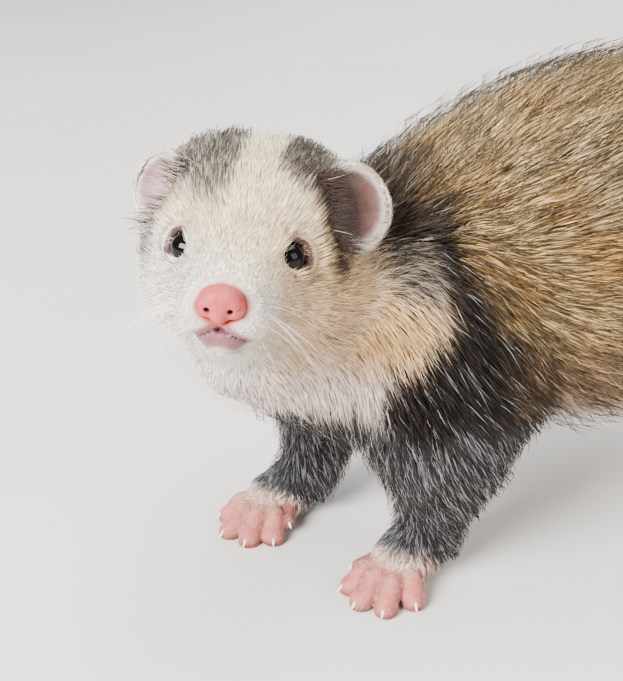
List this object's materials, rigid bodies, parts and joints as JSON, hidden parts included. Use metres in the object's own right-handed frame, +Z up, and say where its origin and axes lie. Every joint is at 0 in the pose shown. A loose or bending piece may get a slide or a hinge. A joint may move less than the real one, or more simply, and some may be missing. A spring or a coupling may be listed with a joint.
{
  "type": "ferret",
  "caption": "Life-size still model of a standing ferret with a pale face, dark legs and tail and a golden brown body, its head turned to its left.",
  "frame": {"origin": "on the floor, at the middle of the ferret's box", "axes": "-Y the way the body faces, +Y towards the tail, +X its left side, +Z up"},
  "size_m": [0.097, 0.4344, 0.1306],
  "materials": {
    "face_fur": "soft white and cream fur",
    "body_fur": "golden undercoat with dark brown guard hairs",
    "dark_fur": "blue-grey to black fur with silver hairs",
    "ear_skin": "thin pink skin with short pale fur",
    "nose_skin": "moist pink skin",
    "paw_skin": "bare pink toes under short white fur",
    "eye": "glossy black-brown"
  },
  "bodies": {
    "root": {"head": "face_fur", "nose": "nose_skin", "eye_left": "eye", "eye_right": "eye", "ear_left": "ear_skin", "ear_right": "ear_skin", "neck": "dark_fur", "chest": "body_fur", "loin": "body_fur", "rump": "body_fur", "tail_base": "dark_fur", "tail_mid": "dark_fur", "tail_tip": "dark_fur", "foreleg_left_upper": "dark_fur", "foreleg_left_lower": "dark_fur", "hindleg_left_upper": "dark_fur", "hindleg_left_lower": "dark_fur", "forepaw_left": "paw_skin", "hindpaw_left": "paw_skin", "foreleg_right_upper": "dark_fur", "foreleg_right_lower": "dark_fur", "hindleg_right_upper": "dark_fur", "hindleg_right_lower": "dark_fur", "forepaw_right": "paw_skin", "hindpaw_right": "paw_skin"}
  },
  "joints": []
}
